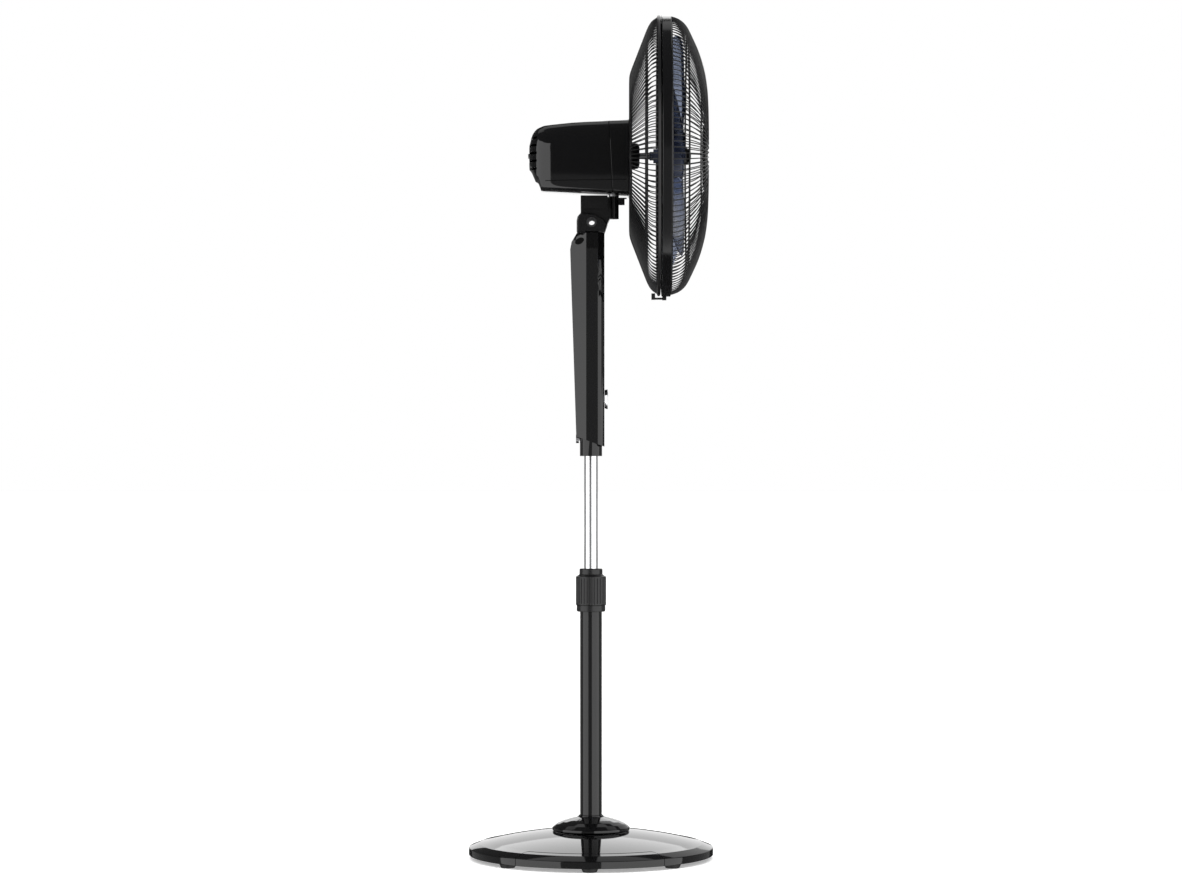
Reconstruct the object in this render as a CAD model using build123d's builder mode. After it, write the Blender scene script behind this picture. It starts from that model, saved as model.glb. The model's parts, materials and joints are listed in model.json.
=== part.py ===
"""Pedestal fan, 400 mm class: round weighted base, telescopic column, control neck and swinging head.

Millimetres, +Z up. The origin is on the floor below the column's axis, and the fan blows towards +X.
"""

import os
from math import atan2, cos, radians, sin, sqrt

from build123d import *

os.makedirs("parts", exist_ok=True)

# ---------------------------------------------------------------- driving dimensions

# Base
base_r = 196.0
rim_bottom = 6.0
rim_top = 18.3
bevel_r = 177.0
bevel_top = 24.0
dome_apex = 46.0
shell_wall = 2.5
feet_circle_r = 182.5
feet_angles = (-135, -90, -45, 45, 90, 135)
plate_top = 7.5
weight_top = 13.0
weight_r = 160.0
plate_screw_circle_r = 170.0

# Column
outer_tube_r = 17.5
outer_tube_bore = 16.2
outer_tube_top = 430.0
inner_tube_r = 11.0
inner_tube_bottom = 300.0
inner_tube_top = 700.0
running = 0.08
collar_bottom = 395.3
knob_bottom = 405.8
knob_shoulder = 451.6
knob_collar_bottom = 455.2
knob_top = 464.3
knob_r = 24.3
knob_flutes = 28

# Control neck
sleeve_r = 17.9
sleeve_bottom = 644.9
neck_front = 21.7
neck_seam_x = 11.2
neck_wall = 2.2
neck_bottom_rear = 677.0
neck_bottom_front = 660.0
neck_top = 1002.0
panel_heights = {"power": 780.0, "speed": 805.0, "swing": 830.0, "timer": 855.0}
button_r = 6.0
dial_z = 736.5
dial_r = 16.4
display_z = 896.0
neck_screw_heights = (758.5, 868.0, 950.0)
lock_screw_z = 672.8

# Tilt pivot and swing bearing
pivot_x = 1.3
pivot_z = 1019.3
pivot_r = 8.0
pivot_bore = 4.9
ear_inner_y = 18.5
ear_outer_y = 24.5
lug_y = 16.8
bracket_top = 1060.5
swing_x = 36.6
swing_shaft_r = 5.0
gear_teeth = 36
pinion_teeth = 12
gear_pitch_r = 18.0
gear_bottom = 1068.8
gear_top = 1072.8

# Head, all of it on the fan's axis
axis_z = 1126.5
housing_front = 60.7
housing_rear = -98.7
blade_count = 5
wire_r = 1.1
ring_wire_r = 1.5
rim_wire_r = 2.2
wire_count = 150
hoop_r = 225.5
hoop_rear = 113.0
hoop_front = 128.0

# ---------------------------------------------------------------- planes, axes and helpers

column_section = Plane.XZ
fan_section = Plane(origin=(0, 0, axis_z), x_dir=(1, 0, 0), z_dir=(0, -1, 0))
fan_axis = Axis((0, 0, axis_z), (1, 0, 0))


def outline(points, plane):
    """A closed face with straight sides, drawn on a plane."""
    with BuildSketch(plane) as face:
        with BuildLine():
            Polyline(*points, close=True)
        make_face()
    return face.sketch


def facing(y):
    """The plane square to Y at a given Y, whose own axes are X and Z."""
    return Plane(origin=(0, y, 0), x_dir=(1, 0, 0), z_dir=(0, -1, 0))


def across(x):
    """The plane square to the fan's axis at a given X, whose own axes are Y and Z."""
    return Plane(origin=(x, 0, 0), x_dir=(0, 1, 0), z_dir=(1, 0, 0))


def rod(radius, start, end, inner=0.0):
    """A round bar from one point to another, bored when inner is given."""
    way = Vector(*end) - Vector(*start)
    with BuildPart(Plane(origin=start, z_dir=way)) as bar:
        Cylinder(radius, way.length, align=(Align.CENTER, Align.CENTER, Align.MIN))
        if inner:
            Cylinder(inner, way.length, align=(Align.CENTER, Align.CENTER, Align.MIN), mode=Mode.SUBTRACT)
    return bar.part


def block(low, high):
    """A box between two opposite corners."""
    size = [b - a for a, b in zip(low, high)]
    with BuildPart(Plane(origin=low)) as solid:
        Box(*size, align=(Align.MIN, Align.MIN, Align.MIN))
    return solid.part


def group(name, solids):
    """Several separate solids that share one node."""
    node = Compound(label=name, children=solids)
    export_step(node, f"parts/{name}.step")


def save(piece, name):
    """Label a finished piece and write its file."""
    piece.part.label = name
    export_step(piece.part, f"parts/{name}.step")


# ---------------------------------------------------------------- base

dome_r = (bevel_r**2 + (dome_apex - bevel_top) ** 2) / (2 * (dome_apex - bevel_top))


def dome_z(r, inset=0.0):
    """Height of the dome at radius r, or of its underside."""
    return dome_apex - dome_r + sqrt((dome_r - inset) ** 2 - r**2)


cover_hole_r = 24.0
inner_bevel_r = bevel_r - 0.6
screw_angles = (0, 60, 120, 180, 240, 300)
socket_screw_angles = (45, 135, 225, 315)

with BuildPart() as base_cover:
    with BuildSketch(column_section):
        with BuildLine():
            outer_dome = ThreePointArc(
                (bevel_r, bevel_top),
                (90, dome_z(90)),
                (cover_hole_r, dome_z(cover_hole_r)),
            )
            inner_dome = ThreePointArc(
                (cover_hole_r, dome_z(cover_hole_r, shell_wall)),
                (90, dome_z(90, shell_wall)),
                (inner_bevel_r, dome_z(inner_bevel_r, shell_wall)),
            )
            Line(outer_dome @ 1, inner_dome @ 0)
            Polyline(
                inner_dome @ 1,
                (base_r - shell_wall, rim_top - 1.6),
                (base_r - shell_wall, rim_bottom),
                (base_r, rim_bottom),
                (base_r, rim_top),
                outer_dome @ 0,
            )
        make_face()
    revolve(axis=Axis.Z)
    with BuildSketch(Plane.XY.offset(plate_top)):
        with PolarLocations(plate_screw_circle_r, len(screw_angles)):
            Circle(5)
    extrude(amount=dome_z(plate_screw_circle_r) - plate_top - 1)
    with BuildSketch(Plane.XY.offset(plate_top)):
        with PolarLocations(plate_screw_circle_r, len(screw_angles)):
            Circle(1.95)
    extrude(amount=12, mode=Mode.SUBTRACT)
save(base_cover, "base_cover")

with BuildPart() as base_plate:
    with BuildSketch(Plane.XY.offset(rim_bottom)):
        Circle(base_r - shell_wall - 0.3)
        with PolarLocations(plate_screw_circle_r, len(screw_angles)):
            Circle(2.1, mode=Mode.SUBTRACT)
    extrude(amount=plate_top - rim_bottom)
save(base_plate, "base_plate")

with BuildPart() as base_weight:
    with BuildSketch(Plane.XY.offset(plate_top)):
        Circle(weight_r)
        Circle(24, mode=Mode.SUBTRACT)
        with PolarLocations(38, len(socket_screw_angles), start_angle=45):
            Circle(3.0, mode=Mode.SUBTRACT)
    extrude(amount=weight_top - plate_top)
save(base_weight, "base_weight")

feet = []
for angle in feet_angles:
    with BuildPart() as foot:
        with BuildSketch(Plane.XY):
            Circle(11)
        with BuildSketch(Plane.XY.offset(rim_bottom)):
            Circle(13.5)
        loft()
    feet.append(foot.part.moved(Rot(0, 0, angle) * Pos(feet_circle_r, 0, 0)))
group("base_feet", feet)


def pan_screw(head_r, head_depth, shank_r, length):
    """A screw that points up its own +Z, with its seat at the origin and its head below."""
    with BuildPart() as screw:
        Cylinder(head_r, head_depth, align=(Align.CENTER, Align.CENTER, Align.MAX))
        Cylinder(shank_r, length, align=(Align.CENTER, Align.CENTER, Align.MIN))
        with Locations((0, 0, -head_depth)):
            Box(head_r * 1.2, head_r * 0.25, head_depth * 0.8, mode=Mode.SUBTRACT)
            Box(head_r * 0.25, head_r * 1.2, head_depth * 0.8, mode=Mode.SUBTRACT)
    return screw.part


plate_screw = pan_screw(4.0, 2.4, 1.9, 11)
group(
    "base_screws",
    [plate_screw.moved(Rot(0, 0, a) * Pos(plate_screw_circle_r, 0, rim_bottom)) for a in screw_angles],
)

with BuildPart() as column_socket:
    with BuildSketch(Plane.XY.offset(weight_top)):
        Circle(48)
        with PolarLocations(38, len(socket_screw_angles), start_angle=45):
            Circle(3.2, mode=Mode.SUBTRACT)
    extrude(amount=4)
    with BuildSketch(Plane.XY.offset(weight_top)):
        Circle(21.5)
    extrude(amount=45)
    with BuildSketch(Plane.XY.offset(weight_top)):
        Circle(outer_tube_r + 0.05)
    extrude(amount=45, mode=Mode.SUBTRACT)
save(column_socket, "column_socket")

socket_screw = pan_screw(5.2, 3.4, 2.9, 9)
group(
    "column_socket_screws",
    [
        socket_screw.moved(Rot(0, 0, a) * Pos(38, 0, weight_top + 4) * Rot(180, 0, 0))
        for a in socket_screw_angles
    ],
)

cap_r = 62.0
cap_foot = dome_z(cap_r - shell_wall) + 0.1
cap_bore = outer_tube_r + 0.15

with BuildPart() as base_cap:
    with BuildSketch(column_section):
        with BuildLine():
            outer_cap = ThreePointArc((55, 54.9), (37, 61.8), (20.5, 66.2))
            inner_cap = ThreePointArc((20, 63.6), (37, 59.2), (53.9, 52.6))
            Line(inner_cap @ 1, (cap_r - shell_wall, 48.4))
            Polyline(
                (cap_r - shell_wall, 48.4),
                (cap_r - shell_wall, cap_foot),
                (cap_r, cap_foot),
                (cap_r, 49.4),
                (55, 54.9),
            )
            Polyline(outer_cap @ 1, (19.6, 69.0), (cap_bore, 69.0), (cap_bore, 63.6), inner_cap @ 0)
        make_face()
    revolve(axis=Axis.Z)
save(base_cap, "base_cap")

# ---------------------------------------------------------------- column

outer_tube = rod(outer_tube_r, (0, 0, weight_top), (0, 0, outer_tube_top), inner=outer_tube_bore)
group("outer_tube", [outer_tube])

with BuildPart() as height_collar:
    collar_points = [
        (outer_tube_r + 0.03, collar_bottom),
        (22.2, collar_bottom),
        (23.0, collar_bottom + 1.2),
        (23.0, knob_bottom - 0.3),
        (20.0, knob_bottom - 0.3),
        (20.0, outer_tube_top),
        (outer_tube_r + 0.03, outer_tube_top),
    ]
    revolve(outline(collar_points, column_section), axis=Axis.Z)
save(height_collar, "height_collar")

with BuildPart() as clamp_collet:
    bore = inner_tube_r + running
    collet_points = [
        (bore, 398.0),
        (outer_tube_bore - 0.04, 398.0),
        (outer_tube_bore - 0.04, outer_tube_top),
        (19.6, outer_tube_top),
        (19.6, outer_tube_top + 3),
        (17.6, outer_tube_top + 3),
        (15.0, knob_shoulder),
        (bore, knob_shoulder),
    ]
    revolve(outline(collet_points, column_section), axis=Axis.Z)
    with BuildSketch(Plane.XY.offset(outer_tube_top + 4)):
        Rectangle(44, 1.6)
        Rectangle(1.6, 44)
    extrude(amount=30, mode=Mode.SUBTRACT)
save(clamp_collet, "clamp_collet")

with BuildPart() as height_knob:
    with BuildSketch(Plane.XY.offset(knob_bottom)):
        Circle(knob_r)
        with PolarLocations(knob_r + 0.7, knob_flutes):
            Circle(1.5, mode=Mode.SUBTRACT)
    extrude(amount=knob_shoulder - knob_bottom)
    knob_points = [
        (0, knob_shoulder - 1),
        (knob_r - 1.2, knob_shoulder - 1),
        (knob_r - 1.2, knob_shoulder),
        (18.5, knob_collar_bottom),
        (18.5, knob_top - 1.2),
        (17.3, knob_top),
        (0, knob_top),
    ]
    revolve(outline(knob_points, column_section), axis=Axis.Z)
    knob_bore = [
        (0, knob_bottom),
        (20.4, knob_bottom),
        (20.4, outer_tube_top + 4),
        (18.4, outer_tube_top + 4),
        (15.8, knob_shoulder + 1.5),
        (inner_tube_r + 0.5, knob_shoulder + 1.5),
        (inner_tube_r + 0.5, knob_top),
        (0, knob_top),
    ]
    revolve(outline(knob_bore, column_section), axis=Axis.Z, mode=Mode.SUBTRACT)
save(height_knob, "height_knob")

inner_tube = rod(inner_tube_r, (0, 0, inner_tube_bottom), (0, 0, inner_tube_top), inner=inner_tube_r - 1.0)
group("inner_tube", [inner_tube])

with BuildPart() as tube_glide:
    glide_points = [
        (inner_tube_r + 0.02, inner_tube_bottom + 22),
        (outer_tube_bore - 0.1, inner_tube_bottom + 22),
        (outer_tube_bore - 0.1, inner_tube_bottom - 4),
        (7.0, inner_tube_bottom - 4),
        (7.0, inner_tube_bottom - 0.05),
        (inner_tube_r + 0.02, inner_tube_bottom - 0.05),
    ]
    revolve(outline(glide_points, column_section), axis=Axis.Z)
save(tube_glide, "tube_glide")

# ---------------------------------------------------------------- control neck


def neck_section(z, rear, half_width, inset=0.0):
    """The neck's eight-sided section at a height, drawn smaller all round by inset."""
    side = [
        (neck_front, 0.58 * half_width),
        (neck_front - 5.5, 0.83 * half_width),
        (neck_seam_x, 0.95 * half_width),
        (-7.4, half_width),
        (rear, 0.44 * half_width),
    ]
    mirrored = [(x, -y) for x, y in reversed(side)]
    with BuildSketch(Plane.XY.offset(z)) as section:
        with BuildLine():
            Polyline(*side, *mirrored, close=True)
        make_face()
        if inset:
            offset(amount=-inset, kind=Kind.INTERSECTION, mode=Mode.REPLACE)
    return section.sketch


neck_stations = [(650.0, -22.7, 24.0), (976.0, -33.3, 30.0), (988.0, -31.0, 30.0), (neck_top, -22.8, 26.0)]


def neck_rear(z):
    """X of the neck's rear edge at a height below its shoulder."""
    (low, rear_low, _), (high, rear_high, _) = neck_stations[:2]
    return rear_low + (rear_high - rear_low) * (z - low) / (high - low)


def neck_body(inset=0.0):
    """The neck's solid form, smaller all round by inset."""
    with BuildPart() as body:
        *lower_rows, (top, top_rear, top_half) = neck_stations
        sections = [neck_section(*row, inset) for row in lower_rows]
        sections.append(neck_section(top - inset, top_rear, top_half, inset))
        for lower, upper in zip(sections, sections[1:]):
            loft([lower, upper], ruled=True)
    return body.part


slant = atan2(neck_bottom_rear - neck_bottom_front, neck_front - neck_stations[0][1])


def neck_cut(lift=0.0):
    """The sloping plane that ends the neck's lower edge, facing up."""
    return Plane(
        origin=(neck_front, 0, neck_bottom_front + lift),
        x_dir=(1, 0, -sin(slant)),
        z_dir=(sin(slant), 0, 1),
    )


def neck_shell(keep_front):
    """One half of the neck's shell, in front of or behind the seam."""
    with BuildPart() as shell:
        add(neck_body())
        add(neck_body(neck_wall), mode=Mode.SUBTRACT)
        split(bisect_by=neck_cut(), keep=Keep.TOP)
        seam = Plane(origin=(neck_seam_x, 0, 0), z_dir=(1, 0, 0))
        split(bisect_by=seam, keep=Keep.TOP if keep_front else Keep.BOTTOM)
        add(block((-14.3, -14.3, neck_top - 6), (14.3, 14.3, neck_top + 1)), mode=Mode.SUBTRACT)
    return shell.part


inner_front = neck_front - neck_wall

with BuildPart() as neck_front_shell:
    add(neck_shell(keep_front=True))
    for z in neck_screw_heights:
        add(rod(4.0, (-5.0, 0, z), (inner_front + 0.5, 0, z)))
        add(rod(1.5, (-5.0, 0, z), (16.0, 0, z)), mode=Mode.SUBTRACT)
    for z in panel_heights.values():
        add(rod(button_r + 0.35, (15.0, 0, z), (neck_front + 1, 0, z)), mode=Mode.SUBTRACT)
    add(rod(3.4, (15.0, 0, dial_z), (neck_front + 1, 0, dial_z)), mode=Mode.SUBTRACT)
    add(block((15.0, -11, display_z - 8), (neck_front + 1, 11, display_z + 8)), mode=Mode.SUBTRACT)
save(neck_front_shell, "neck_front_shell")

with BuildPart() as neck_rear_shell:
    add(neck_shell(keep_front=False))
    for z in neck_screw_heights:
        add(rod(5.5, (neck_rear(z) + 0.8, 0, z), (-5.3, 0, z)))
        add(rod(1.8, (-24.0, 0, z), (-5.3, 0, z)), mode=Mode.SUBTRACT)
        add(rod(3.8, (-40.0, 0, z), (-12.0, 0, z)), mode=Mode.SUBTRACT)
    add(rod(8.0, (-40.0, 0, lock_screw_z), (-16.0, 0, lock_screw_z)), mode=Mode.SUBTRACT)
save(neck_rear_shell, "neck_rear_shell")

neck_screw = pan_screw(3.4, 2.6, 1.45, 20)
group("neck_screws", [neck_screw.moved(Pos(-12.0, 0, z) * Rot(0, 90, 0)) for z in neck_screw_heights])

with BuildPart() as neck_sleeve:
    fit = neck_wall + 0.15
    loft([neck_section(652, -22.7, 24.0, fit), neck_section(695, -24.1, 24.8, fit)], ruled=True)
    split(bisect_by=neck_cut(2.0), keep=Keep.TOP)
    add(rod(sleeve_r, (0, 0, sleeve_bottom), (0, 0, 690)))
    split(bisect_by=Plane(origin=(neck_front - fit, 0, 0), z_dir=(1, 0, 0)), keep=Keep.BOTTOM)
    add(rod(inner_tube_r + 0.04, (0, 0, 640), (0, 0, 700)), mode=Mode.SUBTRACT)
    add(rod(8.2, (-40, 0, lock_screw_z), (-19.5, 0, lock_screw_z)), mode=Mode.SUBTRACT)
    add(rod(3.0, (-40, 0, lock_screw_z), (-9, 0, lock_screw_z)), mode=Mode.SUBTRACT)
save(neck_sleeve, "neck_sleeve")

lock_screw = pan_screw(7.2, 4.6, 2.9, 8.3)
group("lock_screw", [lock_screw.moved(Pos(-19.5, 0, lock_screw_z) * Rot(0, 90, 0))])

# Electronics behind the front shell
board_rear = 9.0
board_front = 10.6
board_low = 712.0
board_high = 930.0

with BuildPart() as circuit_board:
    add(block((board_rear, -19, board_low), (board_front, 19, board_high)))
    for z in neck_screw_heights:
        add(rod(4.6, (board_rear - 1, 0, z), (board_front + 1, 0, z)), mode=Mode.SUBTRACT)
    for z in panel_heights.values():
        add(block((board_front, -3, z - 3), (15.2, 3, z + 3)))
    add(block((board_front, -6.5, dial_z - 6.5), (16.6, 6.5, dial_z + 6.5)))
    add(block((board_front, -10, display_z - 7), (17.4, 10, display_z + 7)))
save(circuit_board, "circuit_board")

with BuildPart() as display_window:
    add(block((17.6, -10.7, display_z - 7.7), (neck_front, 10.7, display_z + 7.7)))
    fillet(display_window.edges().filter_by(Axis.X), radius=2)
save(display_window, "display_window")

for use, z in panel_heights.items():
    with BuildPart(across(16.6)) as button:
        with Locations((0, z)):
            Cylinder(button_r, neck_front - 16.6, align=(Align.CENTER, Align.CENTER, Align.MIN))
        fillet(button.edges().group_by(Axis.X)[-1], radius=0.8)
    save(button, f"{use}_button")

with BuildPart() as dial_ring:
    ring_points = [(22.0, 12.0), (22.0, 15.0), (26.4, dial_r), (27.0, dial_r - 0.7), (25.0, 12.0)]
    dial_section = Plane(origin=(0, 0, dial_z), x_dir=(1, 0, 0), z_dir=(0, -1, 0))
    revolve(outline(ring_points, dial_section), axis=Axis((0, 0, dial_z), (1, 0, 0)))
save(dial_ring, "dial_ring")

with BuildPart() as dial_knob:
    add(rod(11.9, (22.0, 0, dial_z), (26.2, 0, dial_z)))
    add(rod(3.0, (17.0, 0, dial_z), (22.5, 0, dial_z)))
    add(block((25.4, -1.0, dial_z + 3), (27.2, 1.0, dial_z + 11)))
save(dial_knob, "dial_knob")

# ---------------------------------------------------------------- tilt joint

ear_profile = [
    (-22.7, 1003.0),
    (-22.7, 1021.6),
    (-21.2, 1028.5),
    (-15.0, 1035.0),
    (6.4, 1032.5),
    (20.4, 1024.3),
    (26.5, 1017.0),
    (21.7, 1003.0),
]

with BuildPart() as tilt_yoke:
    for side in (-1, 1):
        ear = outline(ear_profile, facing(side * ear_inner_y))
        extrude(ear, amount=ear_outer_y - ear_inner_y, dir=(0, side, 0))
    chamfer(tilt_yoke.edges().group_by(Axis.Y)[0] + tilt_yoke.edges().group_by(Axis.Y)[-1], length=2.0)
    add(block((-20.0, -ear_outer_y + 2.5, neck_top + 0.2), (20.0, ear_outer_y - 2.5, 1005.6)))
    add(block((-14.0, -14.0, 972.0), (14.0, 14.0, neck_top + 1.5)))
    add(block((-9.0, -9.0, 971.0), (9.0, 9.0, 1010.0)), mode=Mode.SUBTRACT)
    add(rod(pivot_r + 0.04, (pivot_x, -30, pivot_z), (pivot_x, 30, pivot_z)), mode=Mode.SUBTRACT)
save(tilt_yoke, "tilt_yoke")

group(
    "tilt_pivot",
    [rod(pivot_r, (pivot_x, -25.2, pivot_z), (pivot_x, 25.2, pivot_z), inner=pivot_bore)],
)

group(
    "friction_washers",
    [
        rod(13.0, (pivot_x, side * 16.95, pivot_z), (pivot_x, side * 18.45, pivot_z), inner=pivot_r + 0.1)
        for side in (-1, 1)
    ],
)

lug_r = 12.7
lug_profile = [
    (-16.3, 1041.5),
    (-16.3, 1034.0),
    (-11.0, 1022.0),
    (9.0, 1009.2),
    (26.5, 1017.0),
    (30.6, 1025.5),
    (36.6, 1025.5),
    (36.6, 1041.5),
]
with BuildPart() as tilt_bracket:
    extrude(outline(lug_profile, facing(lug_y)), amount=2 * lug_y)
    add(rod(lug_r, (pivot_x, -lug_y, pivot_z), (pivot_x, lug_y, pivot_z)))
    add(block((-16.3, -22.0, 1041.0), (27.0, 22.0, bracket_top)))
    add(block((26.0, -6.0, 1041.0), (36.0, 6.0, bracket_top)))
    add(block((-16.3, -22.0, bracket_top), (27.0, 22.0, bracket_top + 1.5)))
    add(block((30.0, -lug_y - 1, 1024.0), (50.0, -7.0, 1042.0)), mode=Mode.SUBTRACT)
    add(block((30.0, 7.0, 1024.0), (50.0, lug_y + 1, 1042.0)), mode=Mode.SUBTRACT)
    add(rod(8.0, (swing_x, 0, 1025.5), (swing_x, 0, 1061.5)))
    add(block((42.0, -4.0, 1048.0), (54.0, 4.0, 1059.4)))
    add(block((42.0, -6.0, 1057.9), (57.3, 6.0, 1059.4)))
    add(rod(swing_shaft_r + 0.02, (swing_x, 0, 1028.0), (swing_x, 0, 1063.0)), mode=Mode.SUBTRACT)
    add(rod(pivot_r + 0.08, (pivot_x, -30, pivot_z), (pivot_x, 30, pivot_z)), mode=Mode.SUBTRACT)
save(tilt_bracket, "tilt_bracket")

with BuildPart() as swing_shaft:
    add(rod(swing_shaft_r, (swing_x, 0, 1029.0), (swing_x, 0, 1107.0)))
    add(rod(8.3, (swing_x, 0, 1061.6), (swing_x, 0, gear_bottom - 0.1)))
    groove_low = 1104.2
    with BuildSketch(Plane(origin=(swing_x, 0, groove_low))):
        Circle(swing_shaft_r + 1)
        Circle(swing_shaft_r - 0.8, mode=Mode.SUBTRACT)
    extrude(amount=1.3, mode=Mode.SUBTRACT)
save(swing_shaft, "swing_shaft")


def spur_gear(teeth, pitch_r, bore_r, low, high, centre_x, start_angle):
    """A spur gear with straight-flanked teeth and plenty of backlash, the first tooth at start_angle."""
    module = 2 * pitch_r / teeth
    root_r = pitch_r - 1.2 * module
    tip_r = pitch_r + 0.9 * module
    root_half = 0.65 * module
    tip_half = 0.25 * module
    tooth = [(root_r - 0.4, -root_half), (tip_r, -tip_half), (tip_r, tip_half), (root_r - 0.4, root_half)]
    with BuildPart() as gear:
        with BuildSketch(Plane(origin=(centre_x, 0, low))):
            Circle(root_r)
            with PolarLocations(0, teeth, start_angle=start_angle):
                Polygon(*tooth, align=None)
            Circle(bore_r, mode=Mode.SUBTRACT)
        extrude(amount=high - low)
    return gear.part


gear_distance = gear_pitch_r * (1 + pinion_teeth / gear_teeth) + 0.15
pinion_x = swing_x - gear_distance
pinion_pitch_r = gear_pitch_r * pinion_teeth / gear_teeth
swing_gear = spur_gear(gear_teeth, gear_pitch_r, swing_shaft_r + 0.02, gear_bottom, gear_top, swing_x, 0)
group("swing_gear", [swing_gear])
with BuildPart() as swing_pinion:
    add(spur_gear(pinion_teeth, pinion_pitch_r, 1.0, gear_bottom, gear_top, pinion_x, 180 / pinion_teeth))
    add(rod(1.5, (pinion_x, 0, gear_bottom), (pinion_x, 0, 1082.0)))
save(swing_pinion, "swing_pinion")

with BuildPart() as swing_motor:
    add(rod(14.0, (pinion_x, 0, 1076.0), (pinion_x, 0, 1095.4)))
    add(rod(4.5, (pinion_x, 0, 1074.0), (pinion_x, 0, 1076.5)))
    add(rod(1.56, (pinion_x, 0, 1073.0), (pinion_x, 0, 1082.4)), mode=Mode.SUBTRACT)
save(swing_motor, "swing_motor")

group(
    "swing_shaft_washers",
    [
        rod(9.0, (swing_x, 0, gear_top + 0.1), (swing_x, 0, gear_top + 1.5), inner=swing_shaft_r + 0.02),
        rod(7.5, (swing_x, 0, groove_low + 0.1), (swing_x, 0, groove_low + 1.2), inner=swing_shaft_r - 0.75),
    ],
)

# ---------------------------------------------------------------- fan motor

bell_r = 46.0
bell_bolt_circle_r = 42.5
bolt_angles = (45, 135, 225, 315)
stator_rear = -53.0
stator_front = -23.0
shaft_r = 4.0
shaft_tip_r = 3.2
front_bell_rear = -20.0
front_bell_front = -5.0
rear_bell_front = -56.0
rear_bell_rear = -71.0


def bolt_spots():
    """Y and Z of the motor's four long bolts."""
    return [
        (bell_bolt_circle_r * cos(radians(a)), axis_z + bell_bolt_circle_r * sin(radians(a)))
        for a in bolt_angles
    ]


with BuildPart() as motor_front_bell:
    front_bell_points = [
        (front_bell_rear, bell_r - 7.5),
        (front_bell_rear, bell_r),
        (front_bell_front - 3, bell_r),
        (front_bell_front, bell_r - 5),
        (front_bell_front, 15.0),
        (74.0, 15.0),
        (74.0, 6.0),
        (-2.0, 6.0),
        (-2.0, 8.03),
        (-14.0, 8.03),
        (-14.0, 12.0),
        (-10.0, 12.0),
        (-10.0, bell_r - 7.5),
    ]
    revolve(outline(front_bell_points, fan_section), axis=fan_axis)
    for y, z in bolt_spots():
        add(rod(2.2, (-30, y, z), (0, y, z)), mode=Mode.SUBTRACT)
    add(block((-8.0, -6.0, 1095.6), (29.0, 6.0, 1113.0)))
    add(rod(9.0, (swing_x, 0, gear_top + 1.7), (swing_x, 0, groove_low - 0.1)))
    add(rod(swing_shaft_r + 0.07, (swing_x, 0, 1070), (swing_x, 0, 1110)), mode=Mode.SUBTRACT)
    add(rod(9.5, (swing_x, 0, groove_low - 0.1), (swing_x, 0, 1110)), mode=Mode.SUBTRACT)
save(motor_front_bell, "motor_front_bell")

with BuildPart() as motor_rear_bell:
    rear_bell_points = [
        (rear_bell_front, bell_r - 7.5),
        (rear_bell_front, bell_r),
        (rear_bell_rear + 3, bell_r),
        (rear_bell_rear, bell_r - 5),
        (rear_bell_rear, 13.0),
        (rear_bell_rear - 5, 13.0),
        (rear_bell_rear - 5, 0.0),
        (rear_bell_rear - 2, 0.0),
        (rear_bell_rear - 2, 8.03),
        (rear_bell_rear + 8, 8.03),
        (rear_bell_rear + 8, 12.0),
        (rear_bell_rear + 4, 12.0),
        (rear_bell_rear + 4, bell_r - 7.5),
    ]
    revolve(outline(rear_bell_points, fan_section), axis=fan_axis)
    for y, z in bolt_spots():
        add(rod(2.2, (-80, y, z), (-50, y, z)), mode=Mode.SUBTRACT)
    add(rod(1.7, (rear_bell_rear - 6, 0, axis_z), (rear_bell_rear - 2.5, 0, axis_z)), mode=Mode.SUBTRACT)
save(motor_rear_bell, "motor_rear_bell")

with BuildPart(across(stator_rear)) as stator_core:
    with BuildSketch(Plane(origin=(stator_rear, 0, axis_z), x_dir=(0, 1, 0), z_dir=(1, 0, 0))):
        Circle(39.5)
        Circle(28.0, mode=Mode.SUBTRACT)
        with PolarLocations(31.5, 16):
            SlotOverall(9, 3.2, mode=Mode.SUBTRACT)
    extrude(amount=stator_front - stator_rear)
save(stator_core, "stator_core")


def fan_ring(start, end, inner, outer):
    """A plain ring on the fan's axis."""
    return rod(outer, (start, 0, axis_z), (end, 0, axis_z), inner=inner)


winding_starts = (stator_rear - 7.5, stator_front + 0.1)
group("stator_windings", [fan_ring(x, x + 7.4, 28.5, 37.5) for x in winding_starts])
group("rotor", [fan_ring(stator_rear + 1, stator_front - 1, shaft_r + 0.02, 27.4)])
group("motor_bearings", [fan_ring(x, x + 9.9, shaft_r + 0.06, 8.0) for x in (-12.0, rear_bell_rear - 1.9)])

with BuildPart() as motor_shaft:
    add(rod(shaft_r, (rear_bell_rear - 1.5, 0, axis_z), (80.0, 0, axis_z)))
    add(rod(shaft_tip_r, (80.0, 0, axis_z), (155.0, 0, axis_z)))
    add(rod(1.3, (103.0, 0, axis_z - 10), (103.0, 0, axis_z + 10)), mode=Mode.SUBTRACT)
save(motor_shaft, "motor_shaft")

motor_bolt = pan_screw(3.6, 2.6, 2.0, 68)
bolt_seat = rear_bell_rear - 0.02
group("motor_bolts", [motor_bolt.moved(Pos(bolt_seat, y, z) * Rot(0, 90, 0)) for y, z in bolt_spots()])

group("motor_capacitor", [block((2.0, -19.0, 1144.0), (26.0, 19.0, 1164.0))])

# ---------------------------------------------------------------- motor housing

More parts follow.
